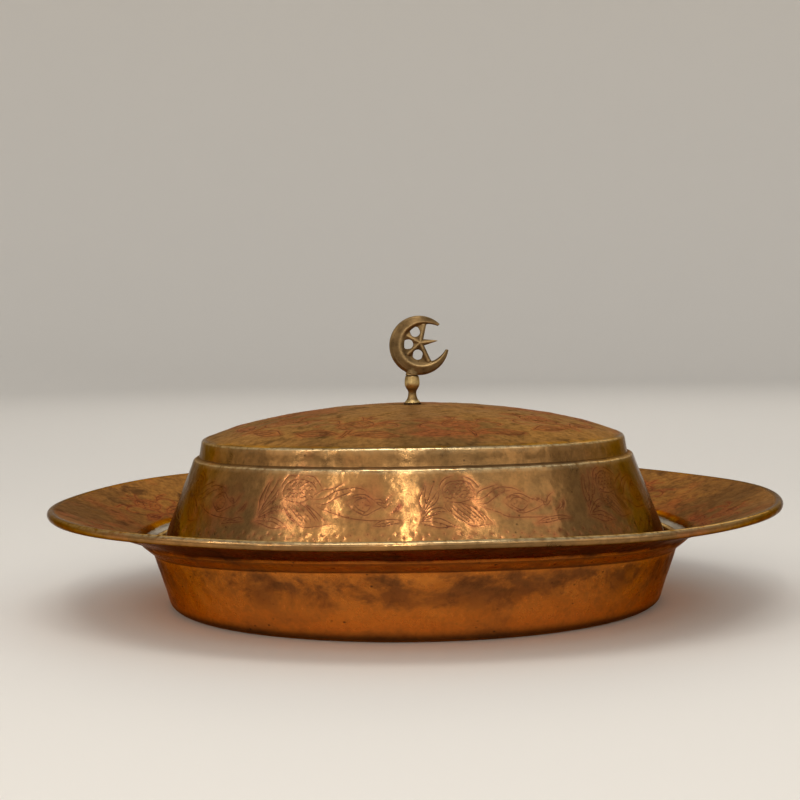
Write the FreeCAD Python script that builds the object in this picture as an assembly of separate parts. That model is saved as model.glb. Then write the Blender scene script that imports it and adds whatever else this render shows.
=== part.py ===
import FreeCAD, Part
import math
import os

# Lidded serving dish of tinned copper sheet. A round basin widens at a ledge that
# carries the lid, and ends in a broad rim whose edge is rolled over a wire. The lid
# has a leaning skirt, a step, a short band and a shallow dome. A cast crescent and
# star stands on a turned stem, and one tang holds both through the lid's top.
# Sizes are in millimetres. +Z is up, the origin is the middle of the base on the
# table, and the open side of the crescent faces +X.

# Dish, from the middle of the base outwards and upwards, on the sheet's underside.
dish_sheet = 1.5
base_radius = 157.0
base_bend_inside = 5.5
wall_height = 38.9
wall_flare = 11.4
ledge_foot_bend_inside = 1.6
ledge_width = 7.6
ledge_rise = 6.2
collar_foot_bend_inside = 2.0
collar_height = 2.4
collar_flare = 1.8
mouth_bend_inside = 3.0
rim_width = 54.45
rim_rise = 17.1
rim_wire_diameter = 1.9
rim_roll_turn_degrees = 300.0

# Lid, from its rolled foot upwards and inwards, on the sheet's outer face.
lid_sheet = 1.2
lid_seat_share = 0.35
lid_seat_clearance = 0.3
lid_wire_diameter = 1.2
lid_roll_turn_degrees = 290.0
flange_width = 6.3
foot_bend_inside = 1.8
skirt_height = 53.1
skirt_lean = 21.6
shoulder_bend_inside = 0.9
step_width = 3.3
step_rise = 1.4
step_bend_inside = 1.0
band_height = 10.4
band_lean = 1.9
crease_bend_inside = 1.0
dome_rise = 18.9
dome_crown_reach_share = 0.7085
dome_crown_slope_share = 1.2474

# A rolled edge stays this far off its wire.
roll_slack = 0.3

# Finial: a tang on the casting runs down through the stem, the washers, the lid and the nut.
tang_diameter = 3.2
tang_clearance = 0.1
lid_hole_diameter = 4.2
seat_washer_diameter = 11.0
seat_washer_thickness = 0.8
stem_foot_diameter = 9.8
stem_foot_rim = 1.0
stem_neck_diameter = 5.4
stem_neck_height = 8.2
stem_barrel_diameter = 9.4
stem_barrel_height = 9.6
stem_barrel_round = 1.4
backing_washer_diameter = 18.0
backing_washer_thickness = 1.2
nut_across_flats = 7.0
nut_thickness = 3.0
nut_corner_bevel = 0.5
tang_end_beyond_nut = 1.5
tang_end_bevel = 0.4

# Crescent and star, one casting in the XZ plane. The back of the crescent is its thick
# middle, opposite the opening. Angles run from +X towards +Z.
crescent_radius = 19.2
crescent_offset = 4.8
crescent_clearance = 0.1
crescent_back_degrees = 198.0
crescent_half_span_degrees = 153.0
crescent_back_width = 9.7
crescent_tip_width = 1.8
crescent_back_depth = 6.4
crescent_tip_depth = 2.6
crescent_taper_power = 2.4
crescent_bevel_share = 0.26
crescent_edge_share = 0.42
crescent_sections = 17
boss_diameter = 8.6
boss_top_diameter = 5.4
boss_height = 6.0
star_offset_x = 0.7
star_offset_z = 1.7
star_web_radius = 14.0
star_thickness = 3.0
star_arms = 5
free_arm_degrees = 6.0
free_arm_length = 12.2
free_arm_half_width = 1.9
side_arm_half_width = 1.2
bay_radius = 3.5
bay_distance = 7.6
bays = 3
star_cut_overrun = 1.0

UP = FreeCAD.Vector(0, 0, 1)
DEPTH = FreeCAD.Vector(0, 1, 0)
CENTRE = FreeCAD.Vector(0, 0, 0)


def spot(radius, height):
    """A point of an outline: its distance from the axis and its height."""
    return FreeCAD.Vector(radius, 0, height)


def left_of(direction):
    """The direction turned a quarter turn anticlockwise in the outline's plane."""
    return FreeCAD.Vector(-direction.z, 0, direction.x)


def heading(start, end):
    return (end - start).normalize()


def turned(vector, angle):
    """The vector turned anticlockwise in the outline's plane by an angle in radians."""
    return vector * math.cos(angle) + left_of(vector) * math.sin(angle)


class Run:
    """A straight stretch of an outline."""

    def __init__(self, start, end):
        self.start = start
        self.end = end

    def moved_left(self, distance):
        shift = left_of(heading(self.start, self.end)) * distance
        return Run(self.start + shift, self.end + shift)

    def edge(self):
        return Part.LineSegment(self.start, self.end).toShape()


class Bend:
    """A round stretch of an outline about a centre; a positive turn is anticlockwise."""

    def __init__(self, centre, start, turn):
        self.centre = centre
        self.start = start
        self.turn = turn
        self.end = centre + turned(start - centre, turn)

    def moved_left(self, distance):
        arm = self.start - self.centre
        change = -distance if self.turn > 0 else distance
        return Bend(self.centre, self.centre + arm * ((arm.Length + change) / arm.Length), self.turn)

    def edge(self):
        middle = self.centre + turned(self.start - self.centre, self.turn / 2)
        return Part.Arc(self.start, middle, self.end).toShape()


def turn_between(before, after):
    """Signed angle from one direction to the next."""
    return math.atan2(left_of(before).dot(after), before.dot(after))


def face_radius(inside_radius, turn, sheet):
    """Radius on the drawn face: the sheet's thickness is added where it bends towards the sheet.
    A positive sheet lies on the left of the drawn face, a negative one on its right."""
    return inside_radius + abs(sheet) if turn * sheet > 0 else inside_radius


def corner_bend(before, corner, after, inside_radius, sheet):
    arriving = heading(before, corner)
    turn = turn_between(arriving, heading(corner, after))
    radius = face_radius(inside_radius, turn, sheet)
    start = corner - arriving * (radius * math.tan(abs(turn) / 2))
    centre = start + left_of(arriving) * math.copysign(radius, turn)
    return Bend(centre, start, turn)


def runs_and_bends(corners, inside_radii, sheet):
    """Runs through the corners with a bend at each corner but the first and last."""
    path = []
    place = corners[0]
    for before, corner, after, inside in zip(corners, corners[1:], corners[2:], inside_radii):
        bend = corner_bend(before, corner, after, inside, sheet)
        path += [Run(place, bend.start), bend]
        place = bend.end
    return path + [Run(place, corners[-1])]


def touching_point(start, centre, radius, side):
    """Where a line from start touches a circle that lies on its left (side 1) or right (side -1)."""
    reach = centre - start
    lean = -side * math.asin(radius / reach.Length)
    length = math.sqrt(reach.Length ** 2 - radius ** 2)
    return start + turned(reach * (1 / reach.Length), lean) * length


def sheet_of_revolution(path, sheet):
    """Turn the sheet between a path and its parallel about the axis."""
    other = [stretch.moved_left(sheet) for stretch in path]
    edges = [stretch.edge() for stretch in path]
    edges.append(Run(path[-1].end, other[-1].end).edge())
    edges += [stretch.edge() for stretch in reversed(other)]
    edges.append(Run(other[0].start, path[0].start).edge())
    return Part.Face(Part.Wire(edges)).revolve(CENTRE, UP, 360)


def wire_ring(centre, diameter):
    return Part.makeTorus(centre.x, diameter / 2, spot(0, centre.z), UP)


def rod(diameter, bottom, top):
    return Part.makeCylinder(diameter / 2, top - bottom, spot(0, bottom), UP)


def ring(diameter, bore_diameter, bottom, top):
    return rod(diameter, bottom, top).cut(rod(bore_diameter, bottom, top))


# The dish's corners, where the faces on its underside would meet without bends.
ledge_foot = spot(base_radius + wall_flare, wall_height)
collar_foot = ledge_foot + spot(ledge_width, ledge_rise)
mouth = collar_foot + spot(collar_flare, collar_height)
rim_wire_centre = mouth + spot(rim_width, rim_rise)
rim_roll_inside = rim_wire_diameter / 2 + roll_slack

# The lid's foot rests on the ledge's upper face, a share of the way out along it.
ledge_heading = heading(ledge_foot, collar_foot)
lid_roll_inside = lid_wire_diameter / 2 + roll_slack
lid_wire_rise = dish_sheet + lid_seat_clearance + lid_sheet + lid_roll_inside
lid_wire_centre = (ledge_foot + (collar_foot - ledge_foot) * lid_seat_share
                   + left_of(ledge_heading) * lid_wire_rise)

# The lid's corners on its outer face, from the foot upwards.
skirt_foot = lid_wire_centre - spot(flange_width, lid_roll_inside)
shoulder = skirt_foot + spot(-skirt_lean, skirt_height)
step_back = shoulder + spot(-step_width, step_rise)
crease = step_back + spot(-band_lean, band_height)
apex = crease.z + dome_rise

# The crown reaches a share of the way to the crease, and its slope there is a multiple of
# the dome's mean slope. From there to the crease the dome bends more tightly.
crown_reach = crease.x * dome_crown_reach_share
crown_lean = math.atan(dome_crown_slope_share * dome_rise / crease.x)
crown_radius = crown_reach / math.sin(crown_lean)
dome_centre = spot(0, apex - crown_radius)
crown_edge = spot(crown_reach, dome_centre.z + crown_radius * math.cos(crown_lean))
crown_to_crease = crease - crown_edge
crown_inwards = heading(crown_edge, dome_centre)
dome_edge_radius = crown_to_crease.Length ** 2 / (2 * crown_to_crease.dot(crown_inwards))
dome_edge_centre = crown_edge + crown_inwards * dome_edge_radius

# The finial's seats, from the lid upwards and from its underside downwards.
lid_hole_seat = dome_centre.z + math.sqrt(crown_radius ** 2 - (lid_hole_diameter / 2) ** 2)
stem_seat = lid_hole_seat + seat_washer_thickness
stem_top = stem_seat + stem_neck_height + stem_barrel_height
crescent_centre = spot(crescent_offset, stem_top + crescent_clearance + crescent_radius)
inner_crown_radius = crown_radius - lid_sheet
backing_seat = dome_centre.z + math.sqrt(inner_crown_radius ** 2 - (backing_washer_diameter / 2) ** 2)
nut_seat = backing_seat - backing_washer_thickness
tang_bottom = nut_seat - nut_thickness - tang_end_beyond_nut


def make_dish_basin():
    """Base, wall, ledge, collar and rim, with the rim's edge rolled down round its wire."""
    lip = touching_point(mouth, rim_wire_centre, rim_roll_inside, -1)
    corners = [CENTRE, spot(base_radius, 0), ledge_foot, collar_foot, mouth, lip]
    bends = [base_bend_inside, ledge_foot_bend_inside, collar_foot_bend_inside, mouth_bend_inside]
    path = runs_and_bends(corners, bends, dish_sheet)
    path.append(Bend(rim_wire_centre, lip, -math.radians(rim_roll_turn_degrees)))
    return sheet_of_revolution(path, dish_sheet)


def make_rim_wire():
    return wire_ring(rim_wire_centre, rim_wire_diameter)


def crease_bend():
    """The bend that joins the dome's edge to the straight band below it."""
    down = heading(crease, step_back)
    radius = crease_bend_inside + lid_sheet
    from_dome = crease - left_of(down) * radius - dome_edge_centre
    along = from_dome.dot(down)
    slide = -along - math.sqrt(along ** 2 - from_dome.Length ** 2 + (dome_edge_radius - radius) ** 2)
    centre = dome_edge_centre + from_dome + down * slide
    outwards = heading(dome_edge_centre, centre)
    turn = turn_between(outwards, left_of(down))
    return Bend(centre, dome_edge_centre + outwards * dome_edge_radius, turn)


def make_lid_shell():
    """Dome, band, step, skirt and flange, with the foot rolled up round its wire."""
    crease_round = crease_bend()
    crown = Bend(dome_centre, spot(0, apex), turn_between(UP, heading(dome_centre, crown_edge)))
    edge_turn = turn_between(heading(dome_edge_centre, crown_edge), heading(dome_edge_centre, crease_round.start))
    dome_edge = Bend(dome_edge_centre, crown_edge, edge_turn)
    lip = touching_point(skirt_foot, lid_wire_centre, lid_roll_inside, 1)
    corners = [crease_round.end, step_back, shoulder, skirt_foot, lip]
    bends = [step_bend_inside, shoulder_bend_inside, foot_bend_inside]
    path = [crown, dome_edge, crease_round] + runs_and_bends(corners, bends, -lid_sheet)
    path.append(Bend(lid_wire_centre, lip, math.radians(lid_roll_turn_degrees)))
    shell = sheet_of_revolution(path, -lid_sheet)
    return shell.cut(rod(lid_hole_diameter, crease.z, apex + dome_rise))


def make_lid_edge_wire():
    return wire_ring(lid_wire_centre, lid_wire_diameter)


def make_seat_washer():
    return ring(seat_washer_diameter, tang_diameter + 2 * tang_clearance, lid_hole_seat, stem_seat)


def make_stem():
    """Turned stem: a bell foot, a narrow neck and a barrel that widens upwards."""
    foot = spot(stem_foot_diameter / 2, stem_seat)
    foot_top = foot + spot(0, stem_foot_rim)
    neck = spot(stem_neck_diameter / 2, stem_seat + stem_neck_height)
    flare = spot((foot_top.x + 2 * neck.x) / 3, (foot_top.z + neck.z) / 2 - stem_foot_rim)
    barrel_side = spot(stem_barrel_diameter / 2, stem_top - 2 * stem_barrel_round)
    barrel_top = spot(stem_barrel_diameter / 2 - stem_barrel_round, stem_top)
    barrel_round = spot(barrel_side.x - stem_barrel_round / 4, stem_top - stem_barrel_round / 2)
    edges = [Run(spot(0, stem_seat), foot).edge(), Run(foot, foot_top).edge(),
             Part.Arc(foot_top, flare, neck).toShape(), Run(neck, barrel_side).edge(),
             Part.Arc(barrel_side, barrel_round, barrel_top).toShape(),
             Run(barrel_top, spot(0, stem_top)).edge(),
             Run(spot(0, stem_top), spot(0, stem_seat)).edge()]
    body = Part.Face(Part.Wire(edges)).revolve(CENTRE, UP, 360)
    return body.cut(rod(tang_diameter + 2 * tang_clearance, stem_seat, stem_top))


def horn_section(place):
    """Eight-sided section of the crescent, with place running from -1 at one tip to 1 at the other."""
    angle = math.radians(crescent_back_degrees + place * crescent_half_span_degrees)
    fullness = 1 - abs(place) ** crescent_taper_power
    width = crescent_tip_width + (crescent_back_width - crescent_tip_width) * fullness
    depth = crescent_tip_depth + (crescent_back_depth - crescent_tip_depth) * fullness
    bevel = width * crescent_bevel_share
    edge = depth * crescent_edge_share
    outline = [(0, edge), (bevel, depth), (width - bevel, depth), (width, edge),
               (width, -edge), (width - bevel, -depth), (bevel, -depth), (0, -edge)]
    outwards = spot(math.cos(angle), math.sin(angle))
    corners = [crescent_centre + outwards * (crescent_radius - inset) + DEPTH * (side / 2)
               for inset, side in outline]
    return Part.makePolygon(corners + corners[:1])


def make_horns():
    steps = crescent_sections - 1
    sections = [horn_section(2 * step / steps - 1) for step in range(crescent_sections)]
    return Part.makeLoft(sections, True, False)


def star_spot(distance, degrees):
    """A point in the crescent's plane, a distance from the star's middle."""
    angle = math.radians(degrees)
    middle = crescent_centre + spot(star_offset_x, star_offset_z)
    return middle + spot(math.cos(angle), math.sin(angle)) * distance


def star_disc(radius, centre, thickness):
    return Part.makeCylinder(radius, thickness, centre - DEPTH * (thickness / 2), DEPTH)


def star_plate(corners, thickness):
    outline = Part.makePolygon([corner - DEPTH * (thickness / 2) for corner in corners + corners[:1]])
    return Part.Face(outline).extrude(DEPTH * thickness)


def make_star():
    """Web with a round bay between each two bound arms, open beside the free arm."""
    cut_thickness = star_thickness + 2 * star_cut_overrun
    arm_turn = 360 / star_arms
    web = star_disc(star_web_radius, star_spot(0, 0), star_thickness)
    fork = star_spot(side_arm_half_width / math.sin(math.radians(arm_turn)), free_arm_degrees)
    reach = 2 * star_web_radius
    mouth_corners = [fork + star_spot(reach, free_arm_degrees + side * arm_turn) - star_spot(0, 0)
                     for side in (-1, 0, 1)]
    web = web.cut(star_plate([fork] + mouth_corners, cut_thickness))
    for number in range(1, bays + 1):
        centre = star_spot(bay_distance, free_arm_degrees + (number + 0.5) * arm_turn)
        web = web.cut(star_disc(bay_radius, centre, cut_thickness))
    free_arm = [star_spot(free_arm_half_width, free_arm_degrees - 90),
                star_spot(free_arm_length, free_arm_degrees),
                star_spot(free_arm_half_width, free_arm_degrees + 90)]
    return web.fuse(star_plate(free_arm, star_thickness))


def make_tang():
    boss = Part.makeCone(boss_diameter / 2, boss_top_diameter / 2, boss_height, spot(0, stem_top), UP)
    shank = rod(tang_diameter, tang_bottom + tang_end_bevel, stem_top + boss_height)
    tip = Part.makeCone(tang_diameter / 2 - tang_end_bevel, tang_diameter / 2, tang_end_bevel,
                        spot(0, tang_bottom), UP)
    return boss.fuse([shank, tip])


def make_crescent():
    return make_horns().fuse([make_star(), make_tang()]).removeSplitter()


def make_backing_washer():
    bore = tang_diameter + 2 * tang_clearance
    return ring(backing_washer_diameter, bore, nut_seat, backing_seat)


def make_nut():
    """Hexagonal nut with its corners turned off at both faces."""
    corner_radius = nut_across_flats / math.sqrt(3)
    bottom = nut_seat - nut_thickness
    corners = [spot(0, bottom) + FreeCAD.Vector(math.cos(step * math.pi / 3), math.sin(step * math.pi / 3), 0)
               * corner_radius for step in range(7)]
    hexagon = Part.Face(Part.makePolygon(corners)).extrude(UP * nut_thickness)
    turned_blank = rod(2 * corner_radius, bottom, nut_seat)
    rims = [edge for edge in turned_blank.Edges if edge.Closed]
    rounded = hexagon.common(turned_blank.makeChamfer(nut_corner_bevel, rims))
    return rounded.cut(rod(tang_diameter + 2 * tang_clearance, bottom, nut_seat))


MAKERS = {
    "dish_basin": make_dish_basin,
    "rim_wire": make_rim_wire,
    "lid_shell": make_lid_shell,
    "lid_edge_wire": make_lid_edge_wire,
    "finial_crescent": make_crescent,
    "finial_stem": make_stem,
    "finial_seat_washer": make_seat_washer,
    "backing_washer": make_backing_washer,
    "finial_nut": make_nut,
}


def solid_of(shape):
    return shape.Solids[0] if len(shape.Solids) == 1 else shape


def main():
    os.makedirs("parts", exist_ok=True)
    for node, make in MAKERS.items():
        piece = solid_of(make())
        box = piece.BoundBox
        print(node, "valid", piece.isValid(), "solids", len(piece.Solids), "volume", round(piece.Volume, 1),
              "radius", round(box.XMax, 2), "from", round(box.ZMin, 2), "to", round(box.ZMax, 2))
        piece.exportStep("parts/" + node + ".step")


main()
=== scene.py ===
# %% [markdown]
# # A lidded copper dish
# Hollow ware like this is raised from single sheets of copper with a hammer, engraved with a graver,
# tinned inside, and topped with a cast brass knob. The CAD solids come in first. They fix every size,
# and each piece made below stays where its solid is.

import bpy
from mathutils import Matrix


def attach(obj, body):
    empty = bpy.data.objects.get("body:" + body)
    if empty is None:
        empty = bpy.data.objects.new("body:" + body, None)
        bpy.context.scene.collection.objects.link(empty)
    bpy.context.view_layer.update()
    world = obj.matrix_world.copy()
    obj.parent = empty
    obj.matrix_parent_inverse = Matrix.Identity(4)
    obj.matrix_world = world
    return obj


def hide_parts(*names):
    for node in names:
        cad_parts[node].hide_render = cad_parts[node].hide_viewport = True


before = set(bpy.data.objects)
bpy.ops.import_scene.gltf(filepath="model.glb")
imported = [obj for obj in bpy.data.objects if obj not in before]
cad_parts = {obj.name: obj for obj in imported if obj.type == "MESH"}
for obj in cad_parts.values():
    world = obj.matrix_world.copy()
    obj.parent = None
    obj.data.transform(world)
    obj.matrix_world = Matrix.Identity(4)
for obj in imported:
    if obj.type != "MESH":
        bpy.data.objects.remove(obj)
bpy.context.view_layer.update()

# %% [markdown]
# ## Camera
# The dish is seen almost level, from a little above its rim, with a long lens. A camera can be aimed
# with Euler angles, but three plain axes are easier to check: ahead, right and up. They become the
# columns of its rotation, and a small roll turns right and up about the line of sight.

# %% Camera
import cmath
import math

import bmesh
import bpy
import numpy as np
from mathutils import Matrix, Vector
from mathutils.geometry import delaunay_2d_cdt
from mathutils.kdtree import KDTree

EYE = Vector((0.003, -1.2653, 0.2073))
AIM_TURN, AIM_DIP, AIM_ROLL = -0.0087, 0.0612, -0.0152


def aim(turn, dip, roll):
    """Rotation of a camera that looks along +Y, then turned right, dipped and rolled, in radians."""
    ahead = Vector((math.sin(turn) * math.cos(dip), math.cos(turn) * math.cos(dip), -math.sin(dip)))
    level = Vector((math.cos(turn), -math.sin(turn), 0.0))
    upright = level.cross(ahead)
    right = level * math.cos(roll) + upright * math.sin(roll)
    up = upright * math.cos(roll) - level * math.sin(roll)
    return Matrix((right, up, -ahead)).transposed()


lens = bpy.data.cameras.new("camera")
lens.lens, lens.sensor_width = 88.21, 36.0
camera = bpy.data.objects.new("camera", lens)
camera.matrix_world = Matrix.Translation(EYE) @ aim(AIM_TURN, AIM_DIP, AIM_ROLL).to_4x4()
bpy.context.collection.objects.link(camera)
bpy.context.scene.camera = camera
print("camera", round(EYE.length, 3), "m from the dish's foot, lens", lens.lens, "mm")

# %% [markdown]
# ## Shader maths as sums
# A finish is mostly arithmetic on masks: this stain but not that one, twice as strong near the foot.
# Node by node that gets long, so a small class wraps a socket and overloads the operators. Each
# operator adds one Math node, and numbers alone are still worked out by Python.

# %% Sockets that can be added and multiplied


class Mask:
    """A socket that gives a number for each point of a surface."""

    def __init__(self, finish, socket):
        self.finish = finish
        self.socket = socket

    def maths(self, operation, first, second):
        return self.finish.node("ShaderNodeMath", {"operation": operation}, {0: first, 1: second})

    def __add__(self, other):
        return self.maths("ADD", self, other)

    def __sub__(self, other):
        return self.maths("SUBTRACT", self, other)

    def __rsub__(self, other):
        return self.maths("SUBTRACT", other, self)

    def __mul__(self, other):
        return self.maths("MULTIPLY", self, other)

    __radd__ = __add__
    __rmul__ = __mul__

    def over(self, low, high):
        """0 below low, 1 above high, and a soft step between them."""
        sockets = {"Value": self, "From Min": low, "From Max": high}
        return self.finish.node("ShaderNodeMapRange", {"interpolation_type": "SMOOTHSTEP"}, sockets)


# %% [markdown]
# ## Finishes
# A finish holds one material. Its node method takes a node's type, its settings, and its sockets.
# All textures read object coordinates, in metres, because every piece sits at the frame's origin, so
# a stain stays on the metal when the lid is lifted.

# %% Finishes


def colour(value):
    """A linked colour as it is, or three numbers as an opaque colour."""
    return value if isinstance(value, Mask) else (*value, 1.0)


SHADER_SOCKETS = {"base": "Base Color", "roughness": "Roughness", "metallic": "Metallic", "normal": "Normal",
                  "edge": "Specular Tint", "gloss": "Specular IOR Level"}


class Finish:
    """A material for one metal, and short ways to add its nodes."""

    def __init__(self, name):
        self.material = bpy.data.materials.new(name)
        self.material.use_nodes = True
        self.tree = self.material.node_tree
        self.tree.nodes.clear()
        self.place = self.node("ShaderNodeTexCoord", {}, {}, "Object")

    def node(self, kind, settings, sockets, output=0):
        made = self.tree.nodes.new(kind)
        for name, value in settings.items():
            setattr(made, name, value)
        for key, value in sockets.items():
            if isinstance(value, Mask):
                self.tree.links.new(value.socket, made.inputs[key])
            else:
                made.inputs[key].default_value = value
        return Mask(self, made.outputs[output] if made.outputs else None)

    def moved(self, stretch, shift):
        sockets = {0: self.place, 1: stretch, 2: (shift, shift, shift)}
        return self.node("ShaderNodeVectorMath", {"operation": "MULTIPLY_ADD"}, sockets)

    def noise(self, size, detail=3.0, roughness=0.55, distortion=0.0, stretch=(1.0, 1.0, 1.0), shift=0.0):
        """Clouds from 0 to 1, each about size metres across; a stretch below 1 draws them out."""
        sockets = {"Vector": self.moved(stretch, shift), "Scale": 1.0 / size, "Detail": detail,
                   "Roughness": roughness, "Distortion": distortion}
        return self.node("ShaderNodeTexNoise", {}, sockets)

    def cells(self, size, stretch=(1.0, 1.0, 1.0), shift=0.0):
        """Distance to the nearest of many scattered points, 0 at the point and about 0.6 between."""
        sockets = {"Vector": self.moved(stretch, shift), "Scale": 1.0 / size}
        return self.node("ShaderNodeTexVoronoi", {}, sockets, "Distance")

    def carried(self, name):
        """A number that the mesh carries for each of its points."""
        return self.node("ShaderNodeAttribute", {"attribute_name": name}, {}, "Fac")

    def blend(self, mask, under, over):
        """Colour under where the mask is 0, and over where it is 1."""
        sockets = {0: mask, 6: colour(under), 7: colour(over)}
        return self.node("ShaderNodeMix", {"data_type": "RGBA"}, sockets, 2)

    def coats(self, base, *coats):
        """A base colour under coats of others, each with the mask that says where it lies."""
        for mask, over in coats:
            base = self.blend(mask, base, over)
        return base

    def layered(self, mask, under, over):
        """One finish over another where the mask is 1; each is its colour and its roughness."""
        base = self.blend(mask, under[0], over[0])
        return base, under[1] * (1.0 - mask) + over[1] * mask

    def relief(self, height, depth):
        """A normal for a surface whose height runs from 0 to 1 over so many metres."""
        return self.node("ShaderNodeBump", {}, {"Height": height, "Distance": depth})

    def done(self, **sockets):
        """The shader itself, from its sockets under their short names."""
        named = {SHADER_SOCKETS[key]: value for key, value in sockets.items()}
        shader = self.node("ShaderNodeBsdfPrincipled", {}, named)
        self.node("ShaderNodeOutputMaterial", {}, {"Surface": shader})
        return self.material


# %% [markdown]
# ## Sections
# A sheet of revolution is known by its section, a line of points that each have a distance from the
# axis and a height. Written as complex numbers, a turn is one multiplication and the left side of a
# line is its way times 1j. Sections are in millimetres, as the maker measures them.

# %% Lines and bends of a section
MM = 0.001
LINE_STEP, TURN_STEP = 0.25, 0.05


def straight(start, end):
    return np.linspace(start, end, max(3, round(abs(end - start) / LINE_STEP)))


def bend(centre, start, turn):
    """Points round a centre; a positive turn is anticlockwise."""
    steps = max(6, round(abs(turn) / TURN_STEP))
    return centre + (start - centre) * np.exp(1j * np.linspace(0.0, turn, steps))


def corner(before, here, after, radius):
    """The bend that takes a line round a corner with a radius."""
    way = (here - before) / abs(here - before)
    turn = cmath.phase((after - here) / way)
    start = here - way * radius * math.tan(abs(turn) / 2)
    return bend(start + way * math.copysign(radius, turn) * 1j, start, turn)


def touch(start, wire, radius, side):
    """Where a line from start touches the roll about a wire on its left (1) or its right (-1)."""
    reach = wire - start
    lean = cmath.exp(-1j * side * math.asin(radius / abs(reach)))
    return start + reach / abs(reach) * lean * math.sqrt(abs(reach) ** 2 - radius ** 2)


def joined(*corners_and_bends):
    """A named section: bends as given, with a straight stretch from each to the next."""
    stretches = {}
    last = None
    for name, line in corners_and_bends:
        if last is not None:
            stretches["to " + name] = straight(last, line[0])
        stretches[name] = line
        last = line[-1]
    return stretches


# %% [markdown]
# Each face of the sheet is the same section moved sideways by the sheet's thickness. So a point of
# the metal is three numbers: its turn about the axis, its distance along the section, and how far out
# it lies on the section's left side. The last number also takes every dent and every engraved line.

# %% A section as a surface


class Section:
    """The drawn face of a sheet, from the axis outwards."""

    def __init__(self, stretches):
        lines = list(stretches.values())
        ways = [np.gradient(line, edge_order=2) for line in lines]
        self.point = np.concatenate(lines)
        self.left = np.concatenate([1j * way / abs(way) for way in ways])
        self.along = np.concatenate([[0.0], np.cumsum(abs(np.diff(self.point)))])
        counts = np.array([len(line) for line in lines])
        ends = np.cumsum(counts) - 1
        self.end = dict(zip(stretches, self.along[ends]))
        self.start = dict(zip(stretches, self.along[ends + 1 - counts]))
        radius = np.maximum(self.point.real, 0.01)
        steps = abs(np.diff(self.point)) * 2 / (radius[1:] + radius[:-1])
        self.spread = np.concatenate([[0.0], np.cumsum(steps)])

    def between(self, along, line):
        """One of the section's lines of complex numbers, read at distances along it."""
        return np.interp(along, self.along, line.real) + 1j * np.interp(along, self.along, line.imag)

    def cut(self, along, out=0.0):
        """Points of the section as complex numbers."""
        return self.between(along, self.point) + self.between(along, self.left) * out

    def solid(self, turn, along, out=0.0):
        """The same points turned about the axis, in millimetres."""
        place = self.cut(along, out)
        return np.stack([place.real * np.cos(turn), place.real * np.sin(turn), place.imag], axis=1)

    def flat(self, turn, along):
        """The surface laid out flat with its angles kept, so that a good flat net is a good round one."""
        middle = (along.min() + along.max()) / 2
        spread = np.interp(along, self.along, self.spread) - np.interp(middle, self.along, self.spread)
        return np.exp(spread + 1j * turn) * np.interp(middle, self.along, self.point.real)


# %% [markdown]
# ## Nets
# Where the metal only bends, rings of four-sided faces do. Where it is engraved, the net has to
# follow the lines, so those zones are filled with triangles between two rings: Delaunay's rule joins
# whatever points are given, and the points follow the strokes closely and the plain metal loosely.

# %% Nets of a sheet
ROUND, HOLE_POINTS = 480, 32
UNEVEN = 0.12


class Net:
    """A sheet's mesh in the making, with a turn, a distance along and a distance out for each point."""

    def __init__(self, section):
        self.section = section
        self.rows = []
        self.count = 0
        self.faces = []

    def add(self, turn, along, out):
        rows = np.empty((len(turn), 3))
        rows[:, 0], rows[:, 1], rows[:, 2] = turn, along, out
        self.rows.append(rows)
        self.count += len(rows)
        return np.arange(self.count - len(rows), self.count)

    def ring(self, along, out, count=ROUND):
        return self.add(np.arange(count) * 2 * math.pi / count, along, out)

    def bridge(self, near, far):
        self.faces += np.stack([near, np.roll(near, -1), np.roll(far, -1), far], axis=1).tolist()

    def rings(self, near, steps, out, back=False):
        """Rings over stretches of the section, so many steps on each, joined to the ring before them."""
        for stretch, count in steps.items():
            start, end = self.section.start[stretch], self.section.end[stretch]
            if back:
                start, end = end, start
            for along in np.linspace(start, end, count + 1)[1:]:
                far = self.ring(along, out)
                self.bridge(near, far)
                near = far
        return near

    def fill(self, near, far, spots, out):
        """Triangles between two rings, through free spots of (turn, along); near may be one point."""
        free = self.add(spots[:, 0], spots[:, 1], out)
        members = np.concatenate([near, far, free])
        rows = np.concatenate(self.rows)[members]
        flat = self.section.flat(rows[:, 0], rows[:, 1])
        loops = []
        for first, count in ((0, len(near)), (len(near), len(far))):
            if count > 2:
                loops += [(first + k, first + (k + 1) % count) for k in range(count)]
        places = [Vector((place.real, place.imag)) for place in flat]
        _, _, faces, source, _, _ = delaunay_2d_cdt(places, loops, [], 0, 1e-6)
        for face in faces:
            own = [source[k][0] for k in face]
            if max(own) >= len(near):
                self.faces.append([int(members[k]) for k in own])


def scatter(section, start, end, spacing, seed):
    """Spots spread evenly over a zone, row by row and a little uneven, as (turn, along)."""
    rng = np.random.default_rng(seed)
    rows = max(1, round((end - start) / (spacing * 0.87)))
    spots = []
    for row in range(1, rows):
        along = start + (end - start) * row / rows
        radius = section.cut(along).real
        count = max(5, round(2 * math.pi * radius / spacing))
        turn = (np.arange(count) + row % 2 / 2 + rng.uniform(-UNEVEN, UNEVEN, count)) * 2 * math.pi / count
        spots.append(np.stack([turn, along + rng.uniform(-UNEVEN, UNEVEN, count) * spacing], axis=1))
    return np.concatenate(spots)


# %% [markdown]
# ## Hammer work
# Raised copper is planished at the end: light blows in rings, each leaving a shallow round facet
# about ten millimetres wide. A noise texture gives dents without edges. Scattered blow points give
# the real thing: each point of the metal rises with the square of its distance to its nearest blow,
# which makes shallow bowls that meet in faint ridges, and breaks up every reflection.

# %% Hammer marks and sway


def tree_of(points):
    tree = KDTree(len(points))
    for number, point in enumerate(points):
        tree.insert(point, number)
    tree.balance()
    return tree


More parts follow.
